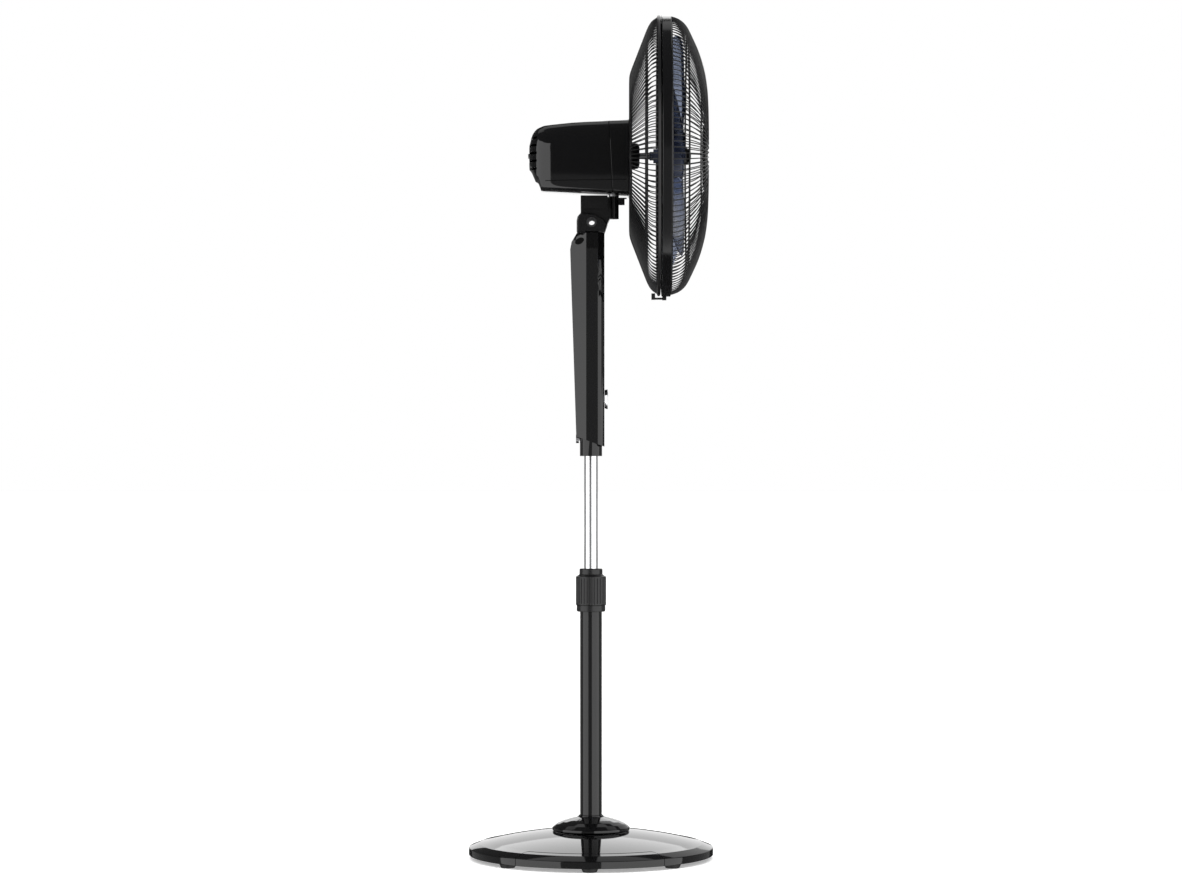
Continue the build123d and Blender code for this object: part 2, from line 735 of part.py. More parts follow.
housing_low_corner = 12.0
housing_stations = [
    # x, bottom, top, half width, upper corner
    (housing_front, 1062.4, 1185.5, 61.5, 56.0),
    (28.0, 1064.3, 1184.0, 60.5, 55.0),
    (-24.0, 1067.2, 1181.5, 58.5, 53.0),
    (-56.0, 1069.0, 1178.2, 56.0, 50.0),
    (-74.0, 1069.8, 1175.6, 51.6, 45.0),
    (-80.0, 1070.2, 1173.2, 48.4, 42.0),
    (-84.0, 1080.4, 1171.4, 45.4, 39.0),
    (-88.5, 1083.2, 1168.0, 41.0, 35.0),
    (-94.3, 1096.5, 1159.5, 31.5, 26.0),
    (housing_rear, 1104.0, 1145.0, 17.0, 16.0),
]


def housing_section(x, bottom, top, half_width, corner, inset):
    """The housing's section at one place along the fan's axis: broad corners above, tight ones below."""
    with BuildSketch(across(x)) as section:
        with Locations((0, (bottom + top) / 2)):
            Rectangle(2 * (half_width - inset), top - bottom - 2 * inset)
        fillet(section.vertices().group_by(Axis.Y)[-1], radius=corner - inset)
        fillet(section.vertices().group_by(Axis.Y)[0], radius=housing_low_corner - inset)
    return section.sketch


def housing_body(inset=0.0):
    """The housing's solid form, smaller all round by inset."""
    with BuildPart() as body:
        rows = [(max(x, housing_rear + inset), *rest) for x, *rest in housing_stations]
        loft([housing_section(*row, inset) for row in rows], ruled=True)
    return body.part


housing_wall = 2.2
seam_top = Vector(28.5, 0, 1184.0)
seam_bottom = Vector(35.0, 0, 1063.0)
seam_rise = seam_top - seam_bottom
housing_seam = Plane(origin=seam_bottom, x_dir=(0, 1, 0), z_dir=(seam_rise.Z, 0, -seam_rise.X))


def housing_half(front):
    """The housing's shell, in front of or behind its seam."""
    with BuildPart() as shell:
        add(housing_body())
        add(housing_body(housing_wall), mode=Mode.SUBTRACT)
        split(bisect_by=housing_seam, keep=Keep.TOP if front else Keep.BOTTOM)
        add(rod(swing_shaft_r + 4.2, (swing_x, 0, 1050), (swing_x, 0, 1074)), mode=Mode.SUBTRACT)
    return shell.part


with BuildPart() as motor_front_cover:
    add(housing_half(front=True))
    _, *front_row = housing_stations[0]
    extrude(housing_section(housing_front - housing_wall, *front_row, 1.0), amount=housing_wall)
    add(rod(15.4, (50.0, 0, axis_z), (70.0, 0, axis_z)), mode=Mode.SUBTRACT)
save(motor_front_cover, "motor_front_cover")

vent_heights = [1103.5 + 12.5 * n for n in range(5)]

with BuildPart() as motor_rear_cover:
    add(housing_half(front=False))
    for z in vent_heights:
        for side in (-1, 1):
            low_y, high_y = sorted((side * 9.0, side * 60.0))
            add(block((-100.0, low_y, z - 1.8), (-86.0, high_y, z + 1.8)), mode=Mode.SUBTRACT)
    add(rod(5.0, (-97.0, 0, axis_z), (rear_bell_rear - 5.1, 0, axis_z)))
    add(rod(1.9, (-100.0, 0, axis_z), (-70.0, 0, axis_z)), mode=Mode.SUBTRACT)
save(motor_rear_cover, "motor_rear_cover")

cover_screw = pan_screw(3.8, 2.2, 1.6, 25)
group("rear_cover_screw", [cover_screw.moved(Pos(housing_rear - 0.02, 0, axis_z) * Rot(0, 90, 0))])

# ---------------------------------------------------------------- guard

rear_plate_r = 78.0
rear_x = housing_front + wire_r + 0.1
rear_flat_end = (rear_x, 124.3)
rear_cone = [(63.6, 133.4), (90.8, 203.2)]
rear_crown = [(95.7, 212.0), (99.7, 216.2)]
rear_rim = (106.2, 220.4)
front_rim = (126.2, 222.5)
front_crown = [(136.9, 219.5), (144.4, 215.1), (150.7, 209.2)]
front_cone = [(155.5, 201.95), (170.05, 171.1)]
front_shoulder = [(176.75, 152.1), (181.8, 132.7), (185.1, 112.9)]
front_face = [(186.6, 94.9), (186.8, 78.0)]
wire_end = (182.3, 46.0)
badge_r = 50.0
mid_ring_r = 129.0


def beside(start, end, radius, gap):
    """X and radius of a ring wire that lies against a straight run of guard wire, gap to its left."""
    way = Vector(*end) - Vector(*start)
    share = (radius - start[1]) / way.Y
    on_wire = Vector(*start) + way * share
    centre = on_wire + Vector(-way.Y, way.X).normalized() * gap
    return centre.X, centre.Y


def ring(x, radius, section_r):
    """A round wire ring on the fan's axis."""
    with BuildPart() as hoop:
        with BuildSketch(fan_section):
            with Locations((x, radius)):
                Circle(section_r)
        revolve(axis=fan_axis)
    return hoop.part


def wire(points):
    """One guard wire in the fan's upper half plane, mitred at each bend."""
    with BuildPart() as bent:
        with BuildLine(fan_section) as path:
            Polyline(*points)
        with BuildSketch(Plane(origin=path.line @ 0, z_dir=path.line % 0)):
            Circle(wire_r)
        sweep(transition=Transition.RIGHT)
    return bent.part


def turned(solid, count, first=0.0):
    """Copies of a solid, evenly spaced around the fan's axis."""
    step = 360.0 / count
    return [solid.rotate(fan_axis, first + n * step) for n in range(count)]


half = wire_count // 2
pitch = 360.0 / wire_count
rear_points = [rear_flat_end, *rear_cone, *rear_crown, rear_rim]
rear_long = wire([(rear_x, 70.0), *rear_points])
rear_short = wire([(rear_x, 100.0), *rear_points])
group("rear_guard_wires", turned(rear_long, half) + turned(rear_short, half, pitch))

weld_gap = wire_r + ring_wire_r + 0.05
rim_way = (Vector(*rear_rim) - Vector(*rear_crown[-1])).normalized() * (rim_wire_r + 0.1)
group(
    "rear_guard_rings",
    [
        ring(*beside(*rear_cone, 193.0, -weld_gap), ring_wire_r),
        ring(rear_x + weld_gap, 104.0, ring_wire_r),
        ring(rear_rim[0] + rim_way.X, rear_rim[1] + rim_way.Y, rim_wire_r),
    ],
)

with BuildPart() as rear_guard_plate:
    plate_points = [
        (housing_front + 0.05, 15.2),
        (housing_front + 0.05, 62.0),
        (rear_x + wire_r + 0.05, 67.0),
        (rear_x + wire_r + 0.05, rear_plate_r),
        (rear_x + wire_r + 1.25, rear_plate_r),
        (rear_x + wire_r + 1.25, 66.5),
        (housing_front + 1.25, 61.5),
        (housing_front + 1.25, 15.2),
    ]
    revolve(outline(plate_points, fan_section), axis=fan_axis)
save(rear_guard_plate, "rear_guard_plate")

with BuildPart() as guard_nut:
    nut_x = housing_front + 1.3
    nut_points = [
        (nut_x, 15.1),
        (nut_x, 24.0),
        (nut_x + 3.0, 24.0),
        (nut_x + 4.0, 21.5),
        (75.5, 20.0),
        (78.0, 14.0),
        (78.0, 6.5),
        (74.3, 6.5),
        (74.3, 15.1),
    ]
    revolve(outline(nut_points, fan_section), axis=fan_axis)
    with BuildSketch(Plane(origin=(nut_x + 4.2, 0, axis_z), x_dir=(0, 1, 0), z_dir=(1, 0, 0))):
        with PolarLocations(22.5, 24):
            Circle(1.6)
    extrude(amount=9, mode=Mode.SUBTRACT)
save(guard_nut, "guard_nut")

front_long = wire([front_rim, *front_crown, *front_cone, *front_shoulder, *front_face, wire_end])
short_end = beside(*front_shoulder[1:], mid_ring_r - 4, 0.0)
front_short = wire([front_rim, *front_crown, *front_cone, *front_shoulder[:2], short_end])
group("front_guard_wires", turned(front_long, half) + turned(front_short, half, pitch))

group(
    "front_guard_rings",
    [
        ring(*beside(*front_shoulder[1:], mid_ring_r, -weld_gap), ring_wire_r),
        ring(*beside(*front_cone, 198.6, -weld_gap), ring_wire_r),
        ring(*beside(front_rim, front_crown[0], 221.9, -(wire_r + rim_wire_r + 0.05)), rim_wire_r),
    ],
)

with BuildPart() as front_badge:
    badge_back = wire_end[0] - wire_r - 0.3
    badge_points = [
        (badge_back - 2.4, 42.0),
        (badge_back - 2.4, badge_r),
        (badge_back, badge_r),
        (badge_back, badge_r - 6.0),
        (184.2, 43.5),
        (187.2, 33.0),
        (188.1, 20.0),
        (188.2, 0.0),
        (186.0, 0.0),
        (185.9, 20.0),
        (185.1, 31.8),
        (182.0, 41.2),
    ]
    revolve(outline(badge_points, fan_section), axis=fan_axis)
save(front_badge, "front_badge")

latch_x = 117.0
latch_z = axis_z - hoop_r - 3.3
hoop_wall = 1.8

with BuildPart() as guard_hoop:
    hoop_points = [
        (hoop_rear, hoop_r - hoop_wall),
        (hoop_rear, hoop_r - 0.8),
        (hoop_rear + 0.8, hoop_r),
        (hoop_front - 0.8, hoop_r),
        (hoop_front, hoop_r - 0.8),
        (hoop_front, hoop_r - hoop_wall),
    ]
    revolve(outline(hoop_points, fan_section), axis=fan_axis)
    lug = block((110.7, -6.0, axis_z + hoop_r - 3.0), (hoop_rear + 1.0, 6.0, axis_z + hoop_r - 1.1))
    for copy in turned(lug, 8, 22.5):
        add(copy)
    for side in (-1, 1):
        low_y, high_y = sorted((side * 4.4, side * 6.6))
        add(block((latch_x - 2.6, low_y, latch_z - 2.5), (latch_x + 4, high_y, axis_z - hoop_r + 1.2)))
    add(rod(1.3, (latch_x, -8, latch_z), (latch_x, 8, latch_z)), mode=Mode.SUBTRACT)
save(guard_hoop, "guard_hoop")

# ---------------------------------------------------------------- latch

with BuildPart() as guard_latch:
    add(block((99.0, -3.8, latch_z - 1.6), (latch_x, 3.8, latch_z + 1.4)))
    add(block((97.0, -5.5, latch_z - 1.8), (103.0, 5.5, latch_z + 8.2)))
    add(rod(1.9, (latch_x, -3.8, latch_z), (latch_x, 3.8, latch_z)))
    add(rod(1.22, (latch_x, -6.4, latch_z), (latch_x, 6.4, latch_z)))
save(guard_latch, "guard_latch")

# ---------------------------------------------------------------- blade

hub_r = 37.7
hub_rear = 116.0
hub_front = 149.0
blade_middle = 133.0
blade_thickness = 2.2
blade_stations = [
    # height above the axis, chord, pitch in degrees, sideways lean
    (33.0, 50.0, 34.0, 0.0),
    (70.0, 80.0, 25.0, 2.0),
    (120.0, 112.0, 17.0, 8.0),
    (165.0, 116.0, 15.0, 16.0),
    (186.0, 92.0, 14.0, 18.0),
    (194.0, 48.0, 13.5, 18.0),
]

with BuildPart() as blade:
    for height, chord, pitch_angle, lean in blade_stations:
        root = (blade_middle, lean, axis_z + height)
        with BuildSketch(Plane(origin=root, x_dir=(0, 1, 0), z_dir=(0, 0, 1))):
            Rectangle(chord, blade_thickness, rotation=pitch_angle)
    loft(ruled=True)

with BuildPart() as fan_blade:
    hub_points = [
        (94.0, shaft_tip_r + 0.03),
        (94.0, 7.0),
        (100.0, 7.0),
        (100.0, 11.5),
        (hub_front - 6.5, 11.5),
        (hub_front - 6.5, hub_r - 2.5),
        (hub_rear, hub_r - 2.5),
        (hub_rear, hub_r),
        (hub_front - 3.0, hub_r),
        (hub_front, hub_r - 4.0),
        (hub_front, 20.0),
        (hub_front - 4.0, 18.0),
        (hub_front - 4.0, shaft_tip_r + 0.03),
    ]
    for copy in turned(blade.part, blade_count):
        add(copy)
    hub_bore = [(90.0, 0.0), (90.0, hub_r - 2.5), (hub_front - 6.5, hub_r - 2.5), (hub_front - 6.5, 0.0)]
    revolve(outline(hub_bore, fan_section), axis=fan_axis, mode=Mode.SUBTRACT)
    revolve(outline(hub_points, fan_section), axis=fan_axis)
    add(rod(1.34, (103.0, 0, axis_z - 12), (103.0, 0, axis_z + 12)), mode=Mode.SUBTRACT)
save(fan_blade, "fan_blade")

group("drive_pin", [rod(1.26, (103.0, 0, axis_z - 9), (103.0, 0, axis_z + 9))])

with BuildPart() as blade_nut:
    nut_x = hub_front - 3.9
    blade_nut_points = [
        (nut_x, shaft_tip_r + 0.03),
        (nut_x, 15.0),
        (nut_x + 8.0, 14.0),
        (nut_x + 14.0, 9.0),
        (nut_x + 15.5, 0.0),
        (nut_x + 10.2, 0.0),
        (nut_x + 10.2, shaft_tip_r + 0.03),
    ]
    revolve(outline(blade_nut_points, fan_section), axis=fan_axis)
save(blade_nut, "blade_nut")
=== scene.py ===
"""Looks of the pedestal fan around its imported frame. Metres, +Z up, and the fan blows towards +X."""

import json
from math import cos, pi, radians, sin, sqrt

import bmesh
import bpy
from mathutils import Matrix, Vector


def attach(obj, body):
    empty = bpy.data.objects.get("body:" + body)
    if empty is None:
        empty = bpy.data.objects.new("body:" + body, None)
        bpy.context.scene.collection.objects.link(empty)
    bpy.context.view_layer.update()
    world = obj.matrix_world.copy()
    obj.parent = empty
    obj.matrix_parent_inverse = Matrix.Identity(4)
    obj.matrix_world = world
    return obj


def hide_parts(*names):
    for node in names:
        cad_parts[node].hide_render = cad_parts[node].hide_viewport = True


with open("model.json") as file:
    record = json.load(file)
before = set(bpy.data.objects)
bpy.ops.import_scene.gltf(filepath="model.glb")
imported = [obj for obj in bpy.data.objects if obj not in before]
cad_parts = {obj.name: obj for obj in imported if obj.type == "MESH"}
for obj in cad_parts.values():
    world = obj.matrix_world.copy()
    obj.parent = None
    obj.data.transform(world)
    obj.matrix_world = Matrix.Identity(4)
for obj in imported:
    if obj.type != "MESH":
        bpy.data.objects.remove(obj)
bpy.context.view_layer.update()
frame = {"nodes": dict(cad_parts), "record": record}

MM = 0.001
AXIS_Z = 1126.5  # height of the fan's axis, in mm like every length below unless it says otherwise

# ---------------------------------------------------------------- materials


def material(name, color, roughness, metallic=0.0, grain=(900.0, 0.02), spread=0.04, wear=None,
             specular=0.5, transmission=0.0, brushed=None, ior=1.5):
    """A shader whose roughness, colour and surface vary with fine noise. grain is its scale and bump strength."""
    mat = bpy.data.materials.new(name)
    mat.use_nodes = True
    nodes, links = mat.node_tree.nodes, mat.node_tree.links
    shader = nodes["Principled BSDF"]
    shader.inputs["Metallic"].default_value = metallic
    shader.inputs["IOR"].default_value = ior
    shader.inputs["Specular IOR Level"].default_value = specular
    shader.inputs["Transmission Weight"].default_value = transmission
    coords = nodes.new("ShaderNodeTexCoord")
    place = nodes.new("ShaderNodeMapping")
    if brushed:
        place.inputs["Scale"].default_value = brushed
    links.new(coords.outputs["Object"], place.inputs["Vector"])
    fine = nodes.new("ShaderNodeTexNoise")
    fine.inputs["Scale"].default_value = grain[0]
    fine.inputs["Detail"].default_value = 4.0
    links.new(place.outputs["Vector"], fine.inputs["Vector"])
    broad = nodes.new("ShaderNodeTexNoise")
    broad.inputs["Scale"].default_value = 14.0
    broad.inputs["Detail"].default_value = 3.0
    links.new(coords.outputs["Object"], broad.inputs["Vector"])
    rough = nodes.new("ShaderNodeMapRange")
    rough.inputs["To Min"].default_value = max(0.02, roughness - spread)
    rough.inputs["To Max"].default_value = roughness + spread
    links.new(broad.outputs["Fac"], rough.inputs["Value"])
    links.new(rough.outputs["Result"], shader.inputs["Roughness"])
    tint = nodes.new("ShaderNodeMix")
    tint.data_type = "RGBA"
    tint.inputs["A"].default_value = (*color, 1.0)
    tint.inputs["B"].default_value = (*(wear or [min(1.0, c * 1.25 + 0.002) for c in color]), 1.0)
    links.new(fine.outputs["Fac"], tint.inputs["Factor"])
    links.new(tint.outputs["Result"], shader.inputs["Base Color"])
    bump = nodes.new("ShaderNodeBump")
    bump.inputs["Strength"].default_value = grain[1]
    bump.inputs["Distance"].default_value = 0.0002
    links.new(fine.outputs["Fac"], bump.inputs["Height"])
    links.new(bump.outputs["Normal"], shader.inputs["Normal"])
    return mat


gloss = material("gloss_black_plastic", (0.0020, 0.0020, 0.0022), 0.05, spread=0.02, specular=0.55)
satin = material("satin_black_plastic", (0.0055, 0.0055, 0.006), 0.32, grain=(1600.0, 0.10))
joint_plastic = material("joint_black_plastic", (0.0025, 0.0025, 0.0028), 0.22, grain=(1600.0, 0.08))
hoop_plastic = material("hoop_black_plastic", (0.0025, 0.0025, 0.0028), 0.14, grain=(1400.0, 0.05))
matt = material("moulded_black_plastic", (0.012, 0.012, 0.013), 0.48, grain=(1400.0, 0.25))
column_paint = material("column_paint", (0.0022, 0.0022, 0.0024), 0.10, grain=(500.0, 0.03), specular=0.55)
wire_paint = material("wire_powder_coat", (0.006, 0.006, 0.0065), 0.30, grain=(1200.0, 0.12))
chrome = material("chrome", (0.80, 0.81, 0.83), 0.10, metallic=1.0, grain=(60.0, 0.01), spread=0.03)
steel = material("plain_steel", (0.46, 0.46, 0.47), 0.34, metallic=1.0, brushed=(1.0, 1.0, 14.0))
dark_steel = material("lamination_steel", (0.16, 0.16, 0.17), 0.45, metallic=1.0, brushed=(60.0, 1.0, 1.0))
alloy = material("cast_alloy", (0.52, 0.53, 0.54), 0.42, metallic=1.0, grain=(700.0, 0.30))
iron = material("cast_iron", (0.05, 0.05, 0.05), 0.75, grain=(420.0, 0.60), spread=0.1)
plate_paint = material("plate_paint", (0.02, 0.02, 0.02), 0.42, grain=(800.0, 0.15))
copper = material("winding_copper", (0.46, 0.16, 0.06), 0.30, metallic=1.0, brushed=(120.0, 1.0, 1.0),
                  grain=(300.0, 0.4))
bronze = material("bearing_bronze", (0.42, 0.26, 0.10), 0.45, metallic=1.0, grain=(900.0, 0.3))
nylon = material("white_nylon", (0.72, 0.71, 0.66), 0.45, grain=(700.0, 0.12))
rubber = material("rubber", (0.004, 0.004, 0.004), 0.62, grain=(900.0, 0.35))
board_green = material("board_green", (0.015, 0.09, 0.035), 0.35, grain=(300.0, 0.20))
window = material("display_window", (0.004, 0.004, 0.006), 0.05, spread=0.02)
key_plastic = material("key_plastic", (0.020, 0.020, 0.022), 0.28, grain=(1500.0, 0.08))
smoke = material("smoke_blade", (0.27, 0.31, 0.42), 0.09, transmission=0.92, spread=0.03, grain=(500.0, 0.03),
                 ior=1.3)
smoke_hub = material("smoke_hub", (0.05, 0.06, 0.10), 0.12, transmission=0.35, spread=0.03, grain=(500.0, 0.03))
# A dark matte for parting lines and recesses. It also paints the shade line along the foot of the housing's sides.
seam = material("seam_and_shade_line", (0.001, 0.001, 0.001), 0.85, grain=(900.0, 0.2), specular=0.1)

slot_materials = {
    "base_gloss": gloss,
    "black_plate": plate_paint,
    "ballast": iron,
    "feet": rubber,
    "fasteners": steel,
    "column_black": column_paint,
    "column_chrome": chrome,
    "knob_black": satin,
    "inner_black": matt,
    "nylon": nylon,
    "neck_black": gloss,
    "board": board_green,
    "window": window,
    "button": key_plastic,
    "dial_chrome": chrome,
    "joint_black": joint_plastic,
    "shaft_steel": steel,
    "bell_alloy": alloy,
    "lamination": dark_steel,
    "windings": copper,
    "bearing_bronze": bronze,
    "housing_black": gloss,
    "guard_wire": wire_paint,
    "guard_black": satin,
    "badge_black": gloss,
    "blade_smoke": smoke,
}
node_slot = {part["node"]: part["material_slot"] for part in frame["record"]["subparts"]}
node_body = {node: body for body, members in frame["record"]["behaviour"]["bodies"].items() for node in members}
for node, obj in frame["nodes"].items():
    obj.data.materials.clear()
    obj.data.materials.append(slot_materials[node_slot[node]])

# ---------------------------------------------------------------- mesh helpers


def soften(points, radius, steps=4):
    """A closed outline with its corners rounded off."""
    out = []
    for n, point in enumerate(points):
        here = Vector(point)
        back = Vector(points[n - 1]) - here
        ahead = Vector(points[(n + 1) % len(points)]) - here
        cut = min(radius, back.length * 0.45, ahead.length * 0.45)
        start = here + back.normalized() * cut
        end = here + ahead.normalized() * cut
        for k in range(steps + 1):
            t = k / steps
            out.append(start * (1 - t) ** 2 + here * (2 * t * (1 - t)) + end * t * t)
    return out


def place(name, bm, mat, node, sharp=38.0, stands_for=True):
    """Turns a bmesh into a shown piece that rides where a CAD node does."""
    bmesh.ops.remove_doubles(bm, verts=bm.verts, dist=1e-7)
    bmesh.ops.recalc_face_normals(bm, faces=bm.faces)
    mesh = bpy.data.meshes.new(name)
    bm.to_mesh(mesh)
    bm.free()
    for polygon in mesh.polygons:
        polygon.use_smooth = True
    mesh.set_sharp_from_angle(angle=radians(sharp))
    obj = bpy.data.objects.new(name, mesh)
    bpy.context.scene.collection.objects.link(obj)
    obj.data.materials.append(mat)
    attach(obj, node_body[node])
    if stands_for:
        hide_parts(node)
    return obj


def revolve(bm, outline, spot, segments=96):
    """Sweeps a closed outline round; spot(a, b, angle) gives the place in mm of an outline point."""
    rings = []
    for k in range(segments):
        angle = 2 * pi * k / segments
        rings.append([bm.verts.new(Vector(spot(a, b, angle)) * MM) for a, b in outline])
    for k, ring in enumerate(rings):
        following = rings[(k + 1) % segments]
        for n in range(len(ring)):
            m = (n + 1) % len(ring)
            corners = [ring[n], ring[m], following[m], following[n]]
            if len({tuple(round(c, 9) for c in v.co) for v in corners}) > 2:
                bm.faces.new(corners)


def upright(r, z, angle):
    """Round the column's axis."""
    return (r * cos(angle), r * sin(angle), z)


def about_fan(x, r, angle):
    """Round the fan's axis."""
    return (x, r * sin(angle), AXIS_Z + r * cos(angle))


def about_dial(x, r, angle):
    """Round the dial's axis."""
    return (x, r * sin(angle), 736.5 + r * cos(angle))


def lathe(name, outline, spot, mat, node, radius, segments=96):
    """A turned piece with softened corners."""
    bm = bmesh.new()
    revolve(bm, soften(outline, radius), spot, segments)
    return place(name, bm, mat, node)


def copy_of(node, mat, bevel):
    """A CAD node's form with its edges rounded over."""
    bm = bmesh.new()
    bm.from_mesh(frame["nodes"][node].data)
    bmesh.ops.remove_doubles(bm, verts=bm.verts, dist=2e-6)
    bmesh.ops.dissolve_limit(bm, angle_limit=radians(1.0), verts=bm.verts, edges=bm.edges)
    obj = place(f"{node}_form", bm, mat, node, sharp=30.0)
    rounding = obj.modifiers.new("rounding", "BEVEL")
    rounding.width = bevel * MM
    rounding.segments = 3
    rounding.limit_method = "ANGLE"
    rounding.angle_limit = radians(28)
    rounding.harden_normals = True
    return obj


def wires(name, paths, radius, mat, node, stands_for=True, cyclic=False, resolution=3):
    """Round wires along paths given in mm."""
    curve = bpy.data.curves.new(name, "CURVE")
    curve.dimensions = "3D"
    curve.bevel_depth = radius * MM
    curve.bevel_resolution = resolution
    curve.use_fill_caps = True
    for path in paths:
        spline = curve.splines.new("POLY")
        spline.points.add(len(path) - 1)
        for point, spot in zip(spline.points, path):
            point.co = (*(Vector(spot) * MM), 1.0)
        spline.use_cyclic_u = cyclic
        spline.use_smooth = True
    obj = bpy.data.objects.new(name, curve)
    bpy.context.scene.collection.objects.link(obj)
    curve.materials.append(mat)
    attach(obj, node_body[node])
    if stands_for:
        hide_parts(node)
    return obj


# ---------------------------------------------------------------- base

BASE_R = 196.0
DOME_TOP = 46.0
DOME_EDGE_R = 177.0
DOME_RISE = 22.0
DOME_R = (DOME_EDGE_R**2 + DOME_RISE**2) / (2 * DOME_RISE)


def dome_z(r):
    """Height of the base's dome at a radius."""
    return DOME_TOP - DOME_R + sqrt(DOME_R**2 - r**2)


def cover_profile():
    """The base cover's outline with the rim and bevel corners rounded, and the dome left smooth."""
    corners = [(193.5, 6.0), (BASE_R, 6.0), (BASE_R, 17.3), (179.0, 24.0), (170.0, dome_z(170.0))]
    rim = soften(corners, 1.1)[5:20]
    dome = [Vector((r, dome_z(r))) for r in range(168, 26, -6)]
    hole = [Vector(p) for p in [(24.0, dome_z(24.0)), (24.0, 43.0)]]
    inside = [Vector(p) for p in [(120.0, 33.0), (176.0, 21.0), (193.5, 16.5), (193.5, 6.2)]]
    return rim + dome + hole + inside


bm = bmesh.new()
revolve(bm, cover_profile(), upright, segments=256)
place("base_cover_form", bm, gloss, "base_cover", sharp=50)

SEAM_HALF = radians(36.4)
SEAM_R = 167.5
SEAM_CORNER = 8.0


def seam_path(middle):
    """The parting line of the base's panel round one side: up the rim, round a corner and along the dome."""
    corner = SEAM_CORNER / SEAM_R
    side = [(196.05, 6.5), (196.05, 12.0), (196.05, 17.2), (190.0, 19.7), (184.0, 22.0), (178.6, 24.0)]
    points = [(r, z, -SEAM_HALF) for r, z in side]
    for k in range(7):
        t = k / 6 * pi / 2
        r = SEAM_R + SEAM_CORNER - SEAM_CORNER * sin(t)
        points.append((r, dome_z(r), -SEAM_HALF + corner * (1 - cos(t))))
    for k in range(1, 40):
        points.append((SEAM_R, dome_z(SEAM_R), -SEAM_HALF + corner + (2 * SEAM_HALF - 2 * corner) * k / 40))
    points += [(r, z, -a) for r, z, a in reversed(points[: len(side) + 7])]
    return [upright(r, z + 0.02, middle + a) for r, z, a in points]


wires("base_seams", [seam_path(-pi / 2), seam_path(pi / 2)], 0.38, seam, "base_cover", stands_for=False)

lathe(
    "base_cap_form",
    [(59.5, 44.9), (62.0, 44.6), (62.0, 49.4), (55.0, 54.9), (46.0, 58.9), (37.0, 61.8), (28.0, 64.3), (20.5, 66.2),
     (19.6, 69.0), (17.75, 69.0), (17.75, 63.6), (37.0, 59.2), (59.5, 48.4)],
    upright, gloss, "base_cap", radius=1.2, segments=160,
)

bm = bmesh.new()
foot_outline = soften([(0.0, 6.0), (0.0, 0.0), (11.0, 0.0), (13.5, 6.0)], 0.9)[5:]
foot_outline = [Vector((0.0, 0.0)), *foot_outline[:-1], Vector((13.4, 6.0)), Vector((0.0, 6.0))]
for angle in (-135, -90, -45, 45, 90, 135):
    centre = Matrix.Rotation(radians(angle), 3, "Z") @ Vector((182.5, 0, 0))
    revolve(bm, foot_outline, lambda r, z, a, c=centre: (c.x + r * cos(a), c.y + r * sin(a), z), segments=40)
place("base_feet_form", bm, rubber, "base_feet")

# ---------------------------------------------------------------- column and height knob

lathe("outer_tube_form", [(16.2, 13.0), (17.5, 13.0), (17.5, 430.0), (16.2, 430.0)], upright, column_paint,
      "outer_tube", radius=0.3, segments=128)
lathe("height_collar_form",
      [(17.53, 395.3), (22.2, 395.3), (23.0, 396.5), (23.0, 405.5), (20.0, 405.5), (20.0, 430.0), (17.53, 430.0)],
      upright, satin, "height_collar", radius=0.7, segments=128)


def knob_spot(r, z, angle):
    """The knob's surface, drawn in along 28 upright flutes over its grip."""
    flute = max(0.0, cos(28 * angle)) ** 3
    grip = min(1.0, max(0.0, (z - 407.0) / 2.0)) * min(1.0, max(0.0, (450.4 - z) / 2.0))
    return upright(r - (1.0 * flute * grip if r > 22.0 else 0.0), z, angle)


knob_outline = [(24.3, 405.8), (24.3, 409.0), (24.3, 428.0), (24.3, 448.6), (24.3, 451.6), (22.9, 452.0),
                (18.5, 455.2), (18.5, 463.1), (17.3, 464.3), (11.5, 464.3), (11.5, 453.1), (15.8, 453.1),
                (18.4, 434.0), (20.4, 434.0), (20.4, 405.8)]
bm = bmesh.new()
revolve(bm, soften(knob_outline, 0.6), knob_spot, segments=336)
place("height_knob_form", bm, satin, "height_knob")

lathe("inner_tube_form", [(10.0, 300.0), (11.0, 300.0), (11.0, 700.0), (10.0, 700.0)], upright, chrome, "inner_tube",
      radius=0.2, segments=96)

# ---------------------------------------------------------------- control neck and tilt joint

copy_of("neck_sleeve", gloss, bevel=0.6)
copy_of("neck_front_shell", gloss, bevel=1.0)
copy_of("neck_rear_shell", gloss, bevel=3.0)
copy_of("tilt_yoke", joint_plastic, bevel=1.3)
copy_of("tilt_bracket", joint_plastic, bevel=0.8)
copy_of("lock_screw", steel, bevel=0.3)


def recess(name, side):
    """A dished oval on the neck's shoulder."""
    centre = Vector((-18.2, side * 21.9, 989.0))
    normal = Vector((-0.58, side * 0.80, 0.16)).normalized()
    along = Vector((0.78, side * 0.55, 0.30)).normalized()
    across = normal.cross(along).normalized()
    along = across.cross(normal)
    bm = bmesh.new()
    rows = [(1.0, -1.2), (1.0, 0.45), (0.95, 0.55), (0.82, 0.50), (0.45, 0.42), (0.0, 0.40)]
    rings = []
    for share, lift in rows:
        ring = []
        for k in range(40):
            a = 2 * pi * k / 40
            spot = centre + along * (8.6 * share * cos(a)) + across * (5.2 * share * sin(a)) + normal * lift
            ring.append(bm.verts.new(spot * MM))
        rings.append(ring)
    for lower, upper in zip(rings, rings[1:]):
        for k in range(40):
            m = (k + 1) % 40
            bm.faces.new([lower[k], lower[m], upper[m], upper[k]])
    bmesh.ops.dissolve_degenerate(bm, dist=1e-7, edges=bm.edges)
    place(name, bm, seam, "neck_rear_shell", stands_for=False)


recess("neck_recess_near", -1)
recess("neck_recess_far", 1)


def about_pivot(y, r, angle):
    """Round the tilt pin's axis."""
    return (1.3 + r * cos(angle), y, 1019.3 + r * sin(angle))


